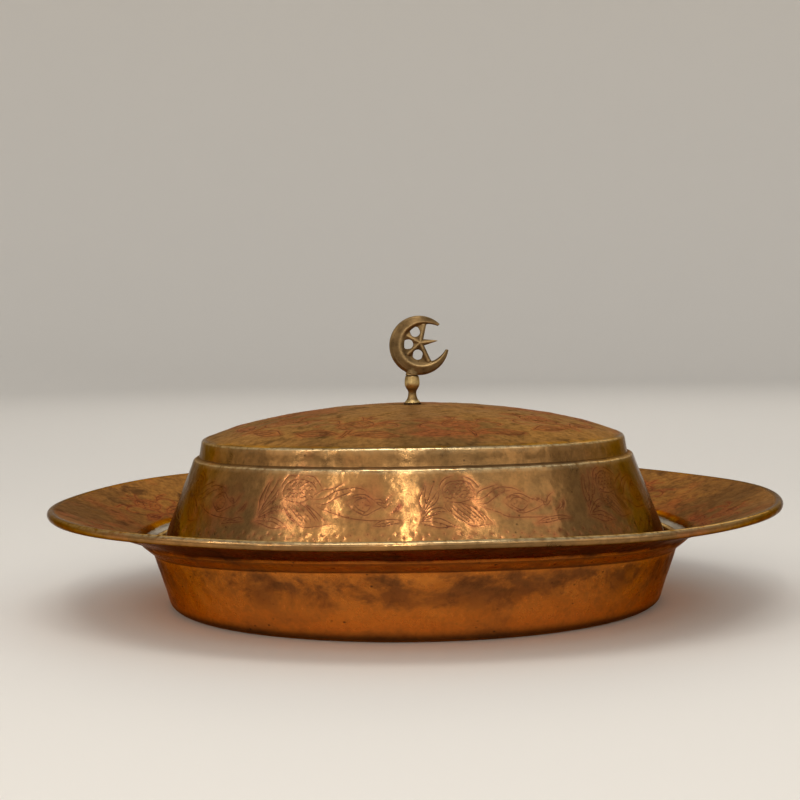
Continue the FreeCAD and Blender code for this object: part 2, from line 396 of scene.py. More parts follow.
def nearest(tree, points):
    """Distance to the nearest point of a tree, and that point's number."""
    found = [tree.find(point) for point in points]
    return np.array([each[2] for each in found]), np.array([each[1] for each in found])


BLOW_REACH, BLOW_CURVE, BLOW_SCATTER = 7.0, 0.0042, 0.22


class Hammering:
    """The blows on one sheet."""

    def __init__(self, section, start, end, spacing, seed):
        rng = np.random.default_rng(seed)
        spots = scatter(section, start, end, spacing, seed)
        aside = rng.normal(0.0, BLOW_SCATTER, len(spots)) * spacing
        spots[:, 0] += aside / np.maximum(section.cut(spots[:, 1]).real, 5.0)
        spots[:, 1] += rng.normal(0.0, BLOW_SCATTER, len(spots)) * spacing
        self.tree = tree_of(section.solid(spots[:, 0], spots[:, 1]))
        self.force = rng.uniform(0.4, 1.3, len(spots))

    def height(self, points):
        distance, number = nearest(self.tree, points)
        return np.minimum(distance, BLOW_REACH) ** 2 * BLOW_CURVE * self.force[number]


def sway(points):
    """The slow unevenness that the hammer leaves over a hand's width, in millimetres."""
    x, y, z = points.T
    slow = 0.17 * np.sin(x / 11.0 + 1.3) * np.cos(y / 9.0 + z / 13.0)
    quick = 0.10 * np.sin((x + y) / 7.0 + z / 8.0) + 0.06 * np.sin((x - y) / 4.6 + z / 5.0 + 2.0)
    return slow + quick


# %% [markdown]
# ## Engraving
# The graver cuts a V that swells in the middle of each stroke and runs out at both ends. In the net,
# a stroke is three chains of points: the bottom of the V and its two lips. The depth of any point
# then follows from its distance to the nearest stroke, which also makes crossings come out right.

# %% Strokes


def smooth(points, step=1.25):
    """Evenly spaced points on a soft line through the given ones, as complex numbers."""
    knots = np.array([complex(*point) for point in points])
    knots = np.concatenate([[2 * knots[0] - knots[1]], knots, [2 * knots[-1] - knots[-2]]])
    pieces = []
    for a, b, c, d in zip(knots, knots[1:], knots[2:], knots[3:]):
        count = max(2, round(abs(c - b) / step))
        t = np.arange(count) / count
        pieces.append(0.5 * (2 * b + (c - a) * t + (2 * a - 5 * b + 4 * c - d) * t ** 2
                             + (3 * b - a - 3 * c + d) * t ** 3))
    return np.append(np.concatenate(pieces), knots[-2])


FULL_DEPTH, HALO_REACH = 0.027, 2.4


class Engraving:
    """All strokes on one face of a sheet."""

    def __init__(self, section, out):
        self.section = section
        self.out = out
        self.spots = []
        self.cores = []

    def add(self, place, line, half, depth, lips):
        turn, along = place(line)
        self.spots.append(np.stack([turn, along], axis=1))
        solid = self.section.solid(turn, along, self.out)
        self.cores.append(np.column_stack([solid, half, depth]))
        for lip in lips:
            self.spots.append(np.stack(place(lip), axis=1))

    def stroke(self, place, points, width=0.62, depth=0.036):
        line = smooth(points)
        swell = np.sin(np.linspace(0.0, math.pi, len(line))) ** 0.6
        half = width / 2 * (0.3 + 0.7 * swell)
        way = np.gradient(line)
        side = 1j * way / abs(way) * half
        self.add(place, line, half, depth * swell, [(line + side)[1:-1], (line - side)[1:-1]])

    def dot(self, place, point, width=0.9, depth=0.09):
        middle = np.array([complex(*point)])
        lip = middle + width / 2 * np.exp(1j * np.arange(5) * 2 * math.pi / 5)
        self.add(place, middle, np.array([width / 2]), np.array([depth]), [lip])

    def among(self, spots, gap=1.0):
        """The strokes' own points, and those of the given spots that keep clear of them."""
        own = np.concatenate(self.spots)
        tree = tree_of(self.section.solid(own[:, 0], own[:, 1], self.out))
        distance, _ = nearest(tree, self.section.solid(spots[:, 0], spots[:, 1], self.out))
        return np.concatenate([own, spots[distance > gap]])

    def measure(self, points):
        """For each point its depth in mm, how far down it is in a stroke, and how near to one it is."""
        cores = np.concatenate(self.cores)
        distance, number = nearest(tree_of(cores[:, :3]), points)
        near = np.clip(1.0 - distance / cores[number, 3], 0.0, 1.0)
        depth = cores[number, 4]
        groove = near * np.clip(depth / FULL_DEPTH, 0.0, 1.0)
        return depth * near, groove, np.clip(1.0 - distance / HALO_REACH, 0.0, 1.0)


# %% [markdown]
# The ornament is a row of leaf, scaled flower, leaf and bud, as engraved on much old kitchen copper.
# It is written once, in millimetres along and up a panel, and then set nine times round the skirt.
# A hand never repeats a panel exactly, so each has its own root, middle and end about the axis.

# %% Skirt ornament


def scales(left, foot, columns, rows, width=5.4, rise=3.0, bulge=2.1):
    """Staggered rows of small arcs."""
    arcs = []
    for row in range(rows):
        for column in range(columns - row % 2):
            start = left + (column + row % 2 / 2) * width
            up = foot + row * rise
            arcs.append([(start, up), (start + width / 2, up + bulge), (start + width, up)])
    return arcs


FLOWER = [
    [(16, 18), (14.8, 21.5), (15.6, 25.5), (18.5, 28.6), (23, 29.8), (28, 29.2), (32, 27), (34, 23.5),
     (33, 18.5)],
    [(16, 18), (20, 16.6), (24.5, 16.2), (29, 17), (33, 18.5)],
    [(12.8, 24), (13.6, 28.2), (17, 31.4), (22, 32.6)],
    [(25.5, 32.4), (31, 31.2), (35.6, 28), (37.4, 24.6)],
] + scales(15.8, 18.2, 5, 5, 3.5, 2.2, 1.5)
LEAVES = [
    [(0.5, 9), (1.5, 13), (0.5, 17.5), (3, 26), (5.5, 29)],
    [(0.5, 6), (3, 12.5), (5.5, 17.5), (8, 23.5), (10.5, 30.5)],
    [(1, 8), (3.5, 15), (3.8, 21), (5.5, 29)],
    [(0.5, 6.5), (3, 10.5), (7, 16), (9.5, 20.5), (11.5, 24.5)],
    [(1, 7), (5.5, 12.5), (10, 16.5), (12, 20), (11.5, 24.5)],
    [(0, 4.5), (5.5, 7.5), (11.5, 10.5), (17, 10)],
    [(0, 5), (4.5, 9), (9, 12.5), (14, 13), (17, 10)],
    [(0, 4.5), (7, 6.5), (12.5, 6), (18.5, 2.5), (22, 0.5)],
    [(0, 4.2), (6, 4.6), (12, 3.6), (17.5, 1.2), (22, 0.5)],
    [(0, 4), (5.5, 2), (11.5, 0.5), (18.5, 0.2), (23, 0.5)],
    [(2, 5.4), (8, 8.2), (13, 9.6)],
]
BIG_LEAF = [
    [(15.5, 17.5), (20, 17), (26, 16), (31.5, 14), (38, 8.5), (43.5, 2.5)],
    [(15.5, 17.5), (17, 12.5), (22, 7), (27.5, 3), (31.5, 1), (43.5, 2.5)],
    [(17, 13.5), (22, 7.5), (28.5, 2.5)],
    [(18, 15.5), (23, 9.5), (30.5, 2.5)],
    [(20, 15.5), (25, 10.5), (33, 3)],
    [(22.5, 15.8), (27.5, 11.5), (35.5, 3.5)],
    [(25, 15.8), (30, 12), (37.5, 4)],
    [(28, 15), (33, 11.5), (39.5, 4)],
]
STEMS = [
    [(31.5, 17), (39, 18.5), (44.5, 22.5), (49.5, 24.5), (56, 25), (60.5, 23.5), (65.5, 21)],
    [(33.5, 15.5), (40.5, 15), (46.5, 19.5), (53, 22), (58, 22.5)],
    [(34.5, 14.5), (39, 12), (46.5, 9), (54, 6.5), (65.5, 5.5), (82.5, 5)],
    [(33, 20), (38, 23.5), (44, 25.5), (49, 27.5)],
]
BUD = [
    [(51.5, 16), (56, 20), (62.5, 20.8), (69, 17.5), (73.5, 15), (79, 13.5)],
    [(51.5, 16), (56, 11), (62.5, 8.5), (72, 11), (79, 13.5)],
    [(55.5, 15.5), (58, 18), (62, 18.5), (65.5, 16.5), (68, 14.5)],
    [(55.5, 15.5), (58, 12), (62.5, 10.5), (65.5, 12), (68, 14.5)],
    [(54, 18), (58, 19.4), (63, 19.2)],
    [(55, 12.6), (59, 10.2), (64, 9.8)],
    [(69, 17.5), (75.5, 17.5), (79, 14.5), (83, 18.5), (86.5, 21)],
    [(71, 16), (76, 16), (79.5, 12.5), (84.5, 16)],
]
LAST_LEAVES = [
    [(69, 1.5), (75.5, 4.5), (82.5, 5.7), (89.5, 5.7), (95.5, 4)],
    [(69, 1.5), (79, 2), (87.5, 3), (95.5, 4)],
    [(73, 2.6), (81, 3.8), (89, 4.4)],
    [(90.5, 9.5), (93, 12.5), (94, 16)],
    [(88, 9.5), (91.4, 12.5), (92.5, 15.5)],
    [(86, 9), (89.5, 11.5), (91, 14.5)],
    [(84.5, 8.6), (88, 10.4), (90, 13)],
]
BUD_DOTS = [(58, 14.4), (60.2, 16), (62.4, 14.6), (60.4, 12.8), (64.6, 14.2)]
NICK_HEADS = [
    (3.4, 15), (4.6, 19), (6.2, 23), (7.6, 17), (9.8, 19.6), (6.6, 8.6), (9.6, 10.2), (12.4, 11.4),
    (7.5, 4.4), (11.4, 3.4), (15.4, 2.3), (22, 12.6), (25.4, 9.2), (28.4, 6.2), (26.4, 12.8), (29.8, 9.4),
    (33.2, 6), (42, 19.8), (45.4, 22.4), (49, 23.6), (53, 24.2), (43, 12.2), (48, 10.2), (53, 8.4),
    (73, 17.2), (76, 16.4), (76, 3.2), (80, 3.8), (85, 4.4),
]
NICKS = [[(start, up), (start + 1.2, up - 1.9)] for start, up in NICK_HEADS]
PANEL = FLOWER + LEAVES + BIG_LEAF + STEMS + BUD + LAST_LEAVES + NICKS

# Root, bud and last leaf of each panel, in degrees to the right of the front.
PANELS = [(-77.5, -51.0, -41.5), (-38.0, -11.0, -2.5), (1.1, 24.2, 36.9), (42.8, 66.5, 79.0),
          (83.0, 107.5, 119.0), (123.0, 148.0, 159.5), (163.5, 187.0, 198.0), (202.0, 227.5, 239.0),
          (243.0, 266.5, 278.5)]
PANEL_BUD, PANEL_END = 61.0, 95.0
print("panel strokes", len(PANEL), "panels", len(PANELS))


def to_the_right(degrees):
    """The turn about the axis of a place so many degrees to the right of the front."""
    return np.radians(np.asarray(degrees) - 90.0)


def panel_place(foot, marks, tall=1.0):
    """Where a panel's point lies on the lid; foot is the panel's lower edge along the section."""
    def place(points):
        degrees = np.interp(points.real, (0.0, PANEL_BUD, PANEL_END), marks)
        degrees = degrees + np.minimum(points.real, 0.0) * (marks[1] - marks[0]) / PANEL_BUD
        return to_the_right(degrees), foot - points.imag * tall
    return place


# %% [markdown]
# The dome and the rim carry looser sprays: one flower, two long leaves and tendrils. They use the same
# strokes at two sizes, so the object keeps one hand.

# %% Sprays
SPRAY = [
    [(0, 0), (1, 6), (0, 13)], [(1.4, 0), (2.6, 6), (1.6, 13)],
    [(-8, 17), (-9.5, 23), (-6.5, 29), (0, 32), (6.5, 29), (9.5, 23), (8, 17)],
    [(-8, 17), (-4, 14), (0, 13), (4, 14), (8, 17)],
    [(-1, 5), (-8, 10), (-16, 11.5), (-25, 6)], [(-1, 5), (-8, 4.5), (-16, 3), (-25, 6)],
    [(-5, 6), (-12, 8), (-20, 7)], [(-4, 5), (-12, 5.4), (-19, 5.2)],
    [(2, 5), (9, 9), (17, 9.5), (26, 3)], [(2, 5), (9, 3), (18, 1), (26, 3)],
    [(6, 5.6), (13, 6.4), (21, 4.6)], [(5, 4.6), (13, 4), (20, 3)],
    [(-9.5, 23), (-15, 26), (-20, 24), (-22, 18), (-18, 16)],
    [(9.5, 23), (15, 27), (21, 25), (23, 19), (19, 17)],
    [(-12, 25), (-17, 30), (-24, 31)], [(12, 26), (18, 31), (25, 31)],
    [(-1.5, 33), (-3, 37), (-7, 40)], [(0, 33), (0.5, 38), (0, 42)], [(1.5, 33), (4, 37), (8, 39)],
] + scales(-8.1, 17.5, 3, 4, rise=3.1)


def spray_place(root, foot, wide, tall):
    """Where a spray's point lies; root in degrees, foot along the section, wide in degrees per unit."""
    def place(points):
        return to_the_right(root + points.real * wide), foot - points.imag * tall
    return place


PANEL_COUNT = len(PANELS)
hand = np.random.default_rng(11)


def shaken(line, amount):
    """A line as a hand repeats it, never twice the same."""
    return np.array(line) + hand.normal(0.0, amount, (len(line), 2))


def engrave_sprays(cuts, first, foot, wide, tall, amount, width, depth):
    """One spray for each panel; first is where the first root lies, in degrees to the right."""
    for number in range(PANEL_COUNT):
        place = spray_place(first + 360 / PANEL_COUNT * number, foot, wide, tall)
        for line in SPRAY:
            cuts.stroke(place, shaken(line, amount), width, depth)


# %% [markdown]
# ## From net to piece
# A piece gets its points, the numbers that its finish reads (how deep, how worn and how dirty, with painted
# highlight and shade among them), smooth shading, the body that it rides on, its finish and the solids
# that it stands for.

# %% From net to piece


def mesh_of(name, points, faces, numbers):
    """A mesh from points in millimetres, without loose points and with its faces turned outwards."""
    mesh = bpy.data.meshes.new(name)
    mesh.from_pydata((points * MM).tolist(), [], faces)
    for key, values in numbers.items():
        carried = mesh.attributes.new(key, "FLOAT", "POINT")
        carried.data.foreach_set("value", np.asarray(values, dtype=np.float32))
    work = bmesh.new()
    work.from_mesh(mesh)
    bmesh.ops.delete(work, geom=[point for point in work.verts if not point.link_faces], context="VERTS")
    bmesh.ops.recalc_face_normals(work, faces=work.faces)
    work.to_mesh(mesh)
    work.free()
    mesh.shade_smooth()
    return mesh


def shown(name, mesh, material):
    """An object in the scene, with its mesh and its material."""
    made = bpy.data.objects.new(name, mesh)
    bpy.context.collection.objects.link(made)
    mesh.materials.append(material)
    return made


def set_up(name, points, faces, numbers, body, slot, material, *nodes):
    mesh = mesh_of(name, points, faces, numbers)
    made = shown(name, mesh, material)
    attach(made, body)
    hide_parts(*nodes)
    triangles = sum(len(face.vertices) - 2 for face in mesh.polygons)
    print(name, len(mesh.vertices), "points,", triangles, "triangles")


def near_to(along, place, width):
    """1 at a place along the section, and falling off over a width on both sides."""
    return np.exp(-((along - place) / width) ** 2)


def sprung(points, turn, out, up):
    """Points moved outwards from the axis and upwards."""
    return points + np.stack([out * np.cos(turn), out * np.sin(turn), up], axis=1)


# %% [markdown]
# ## Aged copper
# The lid and the rim's upper face have a golden brown skin: old tinning and brass-yellow tarnish over
# copper. It goes olive in slow clouds and red where it is thin, as it is round the engraving. The
# strokes themselves show dark red copper. Ridges are rubbed bright and lightened with painted highlight
# lines; corners hold dark dirt and painted shade. A clean metal turns white where it is seen edge-on;
# under this skin it stays brown, which a tint takes care of.
# Faces that look up gather a dull film, so there the finish is partly no metal at all.

# %% Aged copper
GOLDEN, OLIVE, RUSSET = (0.40, 0.20, 0.066), (0.235, 0.128, 0.047), (0.40, 0.135, 0.050)
# The darkest colour here also paints shade in corners, and the brightest also paints highlight lines on
# edges.
BARE, DIRT_AND_SHADE, RUBBED_AND_SHEEN = (0.19, 0.058, 0.026), (0.050, 0.026, 0.011), (0.85, 0.63, 0.33)
EDGE_ON = (0.50, 0.40, 0.29, 1.0)


def aged_skin(finish):
    """Base colour and roughness of the golden brown skin."""
    clouds = finish.noise(0.085, 3.0).over(0.40, 0.64)
    red = finish.noise(0.050, 4.0, 0.6, shift=4.0).over(0.50, 0.68)
    stains = finish.noise(0.016, 5.0, 0.65, 0.4, shift=7.0).over(0.53, 0.72)
    specks = 1.0 - finish.cells(0.0052, shift=2.0).over(0.06, 0.16)
    specks = specks * finish.noise(0.03, 2.0, shift=11.0).over(0.5, 0.62)
    grain = finish.noise(0.0035, 3.0, 0.7, shift=1.0)
    motes = finish.noise(0.008, 4.0, 0.7, shift=13.0).over(0.42, 0.62)
    halo, groove = finish.carried("halo"), finish.carried("groove")
    matt, dirt_and_shade = finish.carried("matt"), finish.carried("dirt_and_shade")
    base = finish.coats(
        GOLDEN,
        (clouds, OLIVE),
        (red * (0.55 + 0.25 * matt) + halo * (0.45 + 0.4 * matt), RUSSET),
        (stains * (0.5 + 0.2 * matt), DIRT_AND_SHADE),
        (grain.over(0.35, 0.75) * (0.22 + 0.28 * matt), DIRT_AND_SHADE),
        (motes * 0.27, DIRT_AND_SHADE),
        # Rubbed ridges, with painted highlight lines along the crease, the shoulder and the lip.
        (finish.carried("wear_and_sheen") * grain.over(0.25, 0.6), RUBBED_AND_SHEEN),
        (groove.over(0.0, 0.4), BARE),
        (groove.over(0.4, 0.9) * 0.75, DIRT_AND_SHADE),
        # Dirt, and painted shade in corners, round the knob, under the rim and round the dish's foot.
        (dirt_and_shade * 0.85, DIRT_AND_SHADE),
        (specks * 0.8, DIRT_AND_SHADE),
    )
    rough = 0.08 + 0.07 * clouds + 0.13 * stains + 0.10 * grain + 0.04 * motes + 0.25 * dirt_and_shade
    return base, rough + 0.24 * matt


def fine_hammer(finish):
    """The small unevenness that is left between the blows, as a height from 0 to 1."""
    return finish.noise(0.010, 2.0, 0.5, shift=5.0) * 0.9 + finish.noise(0.0026, 3.0, 0.6, shift=6.0) * 0.1


TIN, TIN_DARK = (0.50, 0.47, 0.41), (0.33, 0.30, 0.25)


def tinned(finish):
    """Base colour and roughness of old wiped tin."""
    wipes = finish.noise(0.03, 4.0, 0.6, stretch=(1.0, 1.0, 3.0), shift=9.0)
    base = finish.blend(wipes.over(0.36, 0.78), TIN, TIN_DARK)
    return base, 0.34 + 0.2 * wipes


def lid_copper():
    finish = Finish("aged copper")
    base, rough = finish.layered(finish.carried("inside"), aged_skin(finish), tinned(finish))
    return finish.done(base=base, roughness=rough, metallic=1.0 - 0.5 * finish.carried("matt"), edge=EDGE_ON,
                       gloss=0.0, normal=finish.relief(fine_hammer(finish), 0.0004))


LID_COPPER = lid_copper()
print("finish", LID_COPPER.name)

# %% [markdown]
# ## The lid's section
# The lid runs from its hole over a shallow dome, a sharp crease, a short upright band, a small step,
# a leaning skirt and a flat foot, whose edge is curled up over a wire. Corners are given where the
# straight lines would meet, and each is then rounded by its own bend.

# %% The lid's section
LID_SHEET, LID_HOLE = 1.2, 2.1
LID_TOP, CROWN_RADIUS, CROWN_REACH = 126.99, 560.0, 96.0
CREASE, STEP_BACK, SHOULDER = 135.49 + 108.09j, 137.39 + 97.69j, 140.69 + 96.29j
SKIRT_FOOT, LID_WIRE = 162.29 + 43.19j, 168.59 + 44.09j
LID_WIRE_RADIUS, LID_ROLL, LID_ROLL_TURN = 0.6, 0.9, math.radians(290.0)
CREASE_BEND, STEP_BEND, SHOULDER_BEND, FOOT_BEND = 2.2, 1.0, 2.1, 1.8

crown = bend((LID_TOP - CROWN_RADIUS) * 1j, LID_TOP * 1j, -math.asin(CROWN_REACH / CROWN_RADIUS))
inwards = ((LID_TOP - CROWN_RADIUS) * 1j - crown[-1]) / CROWN_RADIUS
way = CREASE - crown[-1]
edge_radius = abs(way) ** 2 / (2 * (way * inwards.conjugate()).real)
edge_turn = 2 * math.asin(abs(way) / 2 / edge_radius)
dome = np.concatenate([crown[:-1], bend(crown[-1] + inwards * edge_radius, crown[-1], -edge_turn * 0.97)])
lid_lip = touch(SKIRT_FOOT, LID_WIRE, LID_ROLL, 1)
lid_section = Section(joined(
    ("dome", dome),
    ("crease", corner(dome[-2], CREASE, STEP_BACK, CREASE_BEND)),
    ("step back", corner(CREASE, STEP_BACK, SHOULDER, STEP_BEND)),
    ("shoulder", corner(STEP_BACK, SHOULDER, SKIRT_FOOT, SHOULDER_BEND)),
    ("foot", corner(SHOULDER, SKIRT_FOOT, lid_lip, FOOT_BEND)),
    ("roll", bend(LID_WIRE, lid_lip, LID_ROLL_TURN)),
))
print("lid section, mm:", {name: round(end, 1) for name, end in lid_section.end.items()})

# %% [markdown]
# ## The lid
# The outer face is engraved on the dome and the skirt. The inner face is the same section one sheet
# thickness further in, so the metal keeps its thickness through every dent.

# %% The lid's engraving
PANEL_TALL, SPRAY_RADIUS, DOT_COUNT = 35.5, 118.0, 216
lid_cuts = Engraving(lid_section, 0.0)
panel_foot = lid_section.end["shoulder"] + PANEL_TALL
for number, marks in enumerate(PANELS):
    place = panel_place(panel_foot, marks, 1.0 + 0.03 * math.sin(number * 2.4))
    for line in PANEL:
        lid_cuts.stroke(place, shaken(line, 0.30))
    for point in BUD_DOTS:
        lid_cuts.dot(place, point)
dots = np.random.default_rng(5)
for number in range(DOT_COUNT):
    place = spray_place(number * 360 / DOT_COUNT, panel_foot, 0.38, 1.0)
    beside = dots.uniform(-0.7, 0.7)
    below = 3.6 + 2.4 * (number % 2) - dots.uniform(-0.5, 0.5)
    lid_cuts.dot(place, (beside, -below), width=1.0, depth=0.16)
spray_foot = lid_section.along[lid_section.point.real.searchsorted(SPRAY_RADIUS)]
engrave_sprays(lid_cuts, -22.0, spray_foot, wide=0.70, tall=1.28, amount=0.35, width=0.8, depth=0.12)
print("lid strokes", len(lid_cuts.cores), "points", sum(len(spots) for spots in lid_cuts.spots))

# %% The lid's net


def lid_net():
    net = Net(lid_section)
    dome_end, foot = lid_section.end["dome"], lid_section.start["foot"]
    hole = net.ring(LID_HOLE, 0.0, HOLE_POINTS)
    near = net.ring(dome_end, 0.0)
    on_dome = scatter(lid_section, LID_HOLE, dome_end, spacing=3.1, seed=1)
    on_skirt = scatter(lid_section, lid_section.end["shoulder"], foot, spacing=2.7, seed=2)
    spots = lid_cuts.among(np.concatenate([on_dome, on_skirt]))
    net.fill(hole, near, spots[spots[:, 1] < dome_end], 0.0)
    band_and_step = {"crease": 4, "to step back": 3, "step back": 3, "to shoulder": 1, "shoulder": 3}
    near = net.rings(near, band_and_step, 0.0)
    far = net.ring(foot, 0.0)
    net.fill(near, far, spots[spots[:, 1] > dome_end], 0.0)
    near = net.rings(far, {"foot": 3, "to roll": 2, "roll": 8}, 0.0)
    far = net.ring(lid_section.end["roll"], -LID_SHEET)
    net.bridge(near, far)
    back = {"roll": 14, "to roll": 2, "foot": 3, "to foot": 9, "shoulder": 2, "to shoulder": 1,
            "step back": 3, "to step back": 2, "crease": 3}
    near = net.rings(far, back, -LID_SHEET, True)
    inner_hole = net.ring(LID_HOLE, -LID_SHEET, HOLE_POINTS)
    spots = scatter(lid_section, LID_HOLE, dome_end, spacing=6.0, seed=3)
    net.fill(inner_hole, near, spots, -LID_SHEET)
    net.bridge(hole, inner_hole)
    return net


# %% [markdown]
# Dents fade out where pieces meet: under the knob's washers, and on the foot, which has to seat.

# %% The lid, worked


def lid_spring(points):
    """A hammered lid is a little out of round, and sits on a ledge that isn't quite level."""
    x, y, z = points.T
    turn = np.arctan2(y, x)
    reach = np.hypot(x, y) / 170.0
    out = reach * (0.45 * np.cos(2 * turn + 0.6) + 0.20 * np.cos(3 * turn + 2.0))
    sag = np.interp(z, (46.0, 96.0), (3.4, 1.7)) * np.minimum(reach / 0.8, 1.0) ** 2
    return sprung(points, turn, out, -sag * np.cos(2 * turn))


def make_lid():
    net = lid_net()
    turn, along, out = np.concatenate(net.rows).T
    face = lid_section.solid(turn, along)
    end, start = lid_section.end, lid_section.start
    calm = np.interp(along, [7.0, 24.0, start["foot"] - 4.0, start["foot"] + 2.0], [0.0, 1.0, 1.0, 0.0])
    blows = Hammering(lid_section, 12.0, start["foot"], spacing=9.5, seed=21)
    dent = (blows.height(face) + sway(face)) * calm
    depth, groove, halo = lid_cuts.measure(face)
    outer = out == 0.0
    points = lid_spring(lid_section.solid(turn, along, out + dent - depth * outer))
    # Rubbing and painted highlight lines: the crease, the shoulder and the outside of the curled edge are
    # lightened.
    edge = near_to(along, (start["crease"] + end["crease"]) / 2, 0.8)
    edge = edge + near_to(along, (start["shoulder"] + end["shoulder"]) / 2, 0.7)
    rolled = (along > start["roll"] + 0.4) * (out < 0.0)
    # Dirt and painted shade: dark lines in the step's corner and at the foot, and a dark ring round the
    # knob's seat.
    corner_dirt_and_shade = near_to(along, end["step back"] - 0.2, 0.5) * 0.7 + near_to(along, end["foot"], 1.6) * 0.8
    seat = near_to(along, 6.5, 2.6) * 0.8
    film = np.interp(along, [end["dome"] - 4.0, end["dome"]], [1.0, 0.0])
    film = film + near_to(along, (end["step back"] + start["shoulder"]) / 2, 1.4) * 0.8
    numbers = {
        "groove": groove * outer,
        "halo": halo * outer,
        "wear_and_sheen": np.clip(edge * outer + 0.8 * rolled, 0, 1),
        "dirt_and_shade": np.clip((corner_dirt_and_shade + seat) * outer, 0, 1),
        "inside": (out < 0.0) * (1.0 - rolled),
        "matt": film,
    }
    set_up("lid", points, net.faces, numbers, "lid", "copper_lid", LID_COPPER, "lid_shell")


make_lid()

# %% [markdown]
# ## The dish's section
# The dish is one sheet too, drawn on its underside from the middle of the base outwards: base, wall,
# a narrow ledge that carries the lid, a short collar, and a broad rim that climbs to its edge. The edge
# is rolled down round a wire, which stiffens a wide thin brim far better than thicker metal would.

# %% The dish's section
DISH_SHEET, RIM_WIRE_RADIUS, RIM_ROLL, RIM_ROLL_TURN = 1.5, 0.95, 1.25, math.radians(300.0)
BASE_BEND, LEDGE_BEND, COLLAR_BEND, MOUTH_BEND = 7.0, 1.6, 3.5, 4.5
BASE_CORNER, LEDGE_FOOT, COLLAR_FOOT = 157.0 + 0j, 168.4 + 38.9j, 176.0 + 45.1j
MOUTH, RIM_WIRE = 177.8 + 47.5j, 232.25 + 64.6j

rim_lip = touch(MOUTH, RIM_WIRE, RIM_ROLL, -1)
dish_section = Section(joined(
    ("middle", straight(0j, 4 + 0j)),
    ("base", corner(0j, BASE_CORNER, LEDGE_FOOT, BASE_BEND)),
    ("ledge foot", corner(BASE_CORNER, LEDGE_FOOT, COLLAR_FOOT, LEDGE_BEND)),
    ("collar foot", corner(LEDGE_FOOT, COLLAR_FOOT, MOUTH, COLLAR_BEND)),
    ("mouth", corner(COLLAR_FOOT, MOUTH, rim_lip, MOUTH_BEND)),
    ("roll", bend(RIM_WIRE, rim_lip, -RIM_ROLL_TURN)),
))
print("dish section, mm:", {name: round(end, 1) for name, end in dish_section.end.items()})

# %% [markdown]
# ## Copper, tin and skin on one sheet
# Heat, hands and cleaning treat each part of a dish differently, so its finish mixes three surfaces by
# numbers that the mesh carries. The wall outside is bare copper, orange where it is rubbed and brown
# in blotches and smears, and darkened at its top with painted shade under the rim. The well is tinned.
# The rim has the lid's old skin.

# %% The dish's finish
# The near-black colour serves for pits and dirt, and also paints shade under the rim and round the foot.
COPPER, COPPER_BROWN, PITS_DIRT_AND_SHADE = (0.88, 0.30, 0.042), (0.38, 0.132, 0.032), (0.055, 0.028, 0.013)
DISH_EDGE_ON = (0.36, 0.27, 0.19, 1.0)


def dish_copper():
    finish = Finish("dish copper")
    blotches = finish.noise(0.045, 6.0, 0.66, 0.3, stretch=(1.0, 1.0, 1.5), shift=3.0).over(0.44, 0.64)
    smears = finish.noise(0.014, 6.0, 0.70, 0.3, stretch=(1.0, 1.0, 1.3), shift=8.0).over(0.46, 0.66)
    upper, dirt_and_shade = finish.carried("shade under rim"), finish.carried("dirt_and_shade")
    pits = 1.0 - finish.cells(0.0062, stretch=(1.0, 1.0, 1.4), shift=4.0).over(0.06, 0.2)
    pits = pits * finish.noise(0.02, 2.0, shift=12.0).over(0.52, 0.64)
    grain = finish.noise(0.0030, 3.0, 0.7, shift=1.0)
    # The top of the outer wall and the rim's underside are browned and darkened as painted shade under the
    # rim.
    brown = blotches * 0.45 + upper * 0.75 * (0.40 + blotches) + smears * (0.25 + 0.45 * upper)
    base = finish.coats(
        COPPER,
        (brown, COPPER_BROWN),
        (upper * (0.24 + blotches * (0.5 + 0.6 * smears)) * 0.85, PITS_DIRT_AND_SHADE),
        (grain.over(0.35, 0.75) * 0.25, COPPER_BROWN),
        (pits * 0.85, PITS_DIRT_AND_SHADE),
        # Dirt and painted shade at the creases under the rim, and a painted contact shadow round the foot.
        (dirt_and_shade * 0.9, PITS_DIRT_AND_SHADE),
    )
    rough = 0.20 + 0.14 * blotches + 0.14 * smears + 0.10 * grain + 0.3 * dirt_and_shade
    edge = finish.noise(0.022, 4.0, 0.6, shift=14.0) * 0.5
    tinning = (finish.carried("tinned") + edge).over(0.68, 0.82)
    base, rough = finish.layered(finish.carried("skin"), (base, rough), aged_skin(finish))
    base, rough = finish.layered(tinning, (base, rough), tinned(finish))
    return finish.done(base=base, roughness=rough, metallic=1.0 - 0.6 * finish.carried("matt"),
                       edge=DISH_EDGE_ON, gloss=0.0, normal=finish.relief(fine_hammer(finish), 0.0005))


DISH_COPPER = dish_copper()
print("finish", DISH_COPPER.name)

# %% [markdown]
# ## The dish
# The rim carries the lid's ornament in its loosest form, one spray for each panel of the lid, with
# the roots towards the mouth.

# %% The rim's engraving
rim_cuts = Engraving(dish_section, DISH_SHEET)
rim_foot = dish_section.end["mouth"] + 2.0
engrave_sprays(rim_cuts, -73.0, rim_foot, wide=0.36, tall=-0.90, amount=0.30, width=0.7, depth=0.10)
print("rim strokes", len(rim_cuts.cores), "points", sum(len(spots) for spots in rim_cuts.spots))

# %% The dish's net


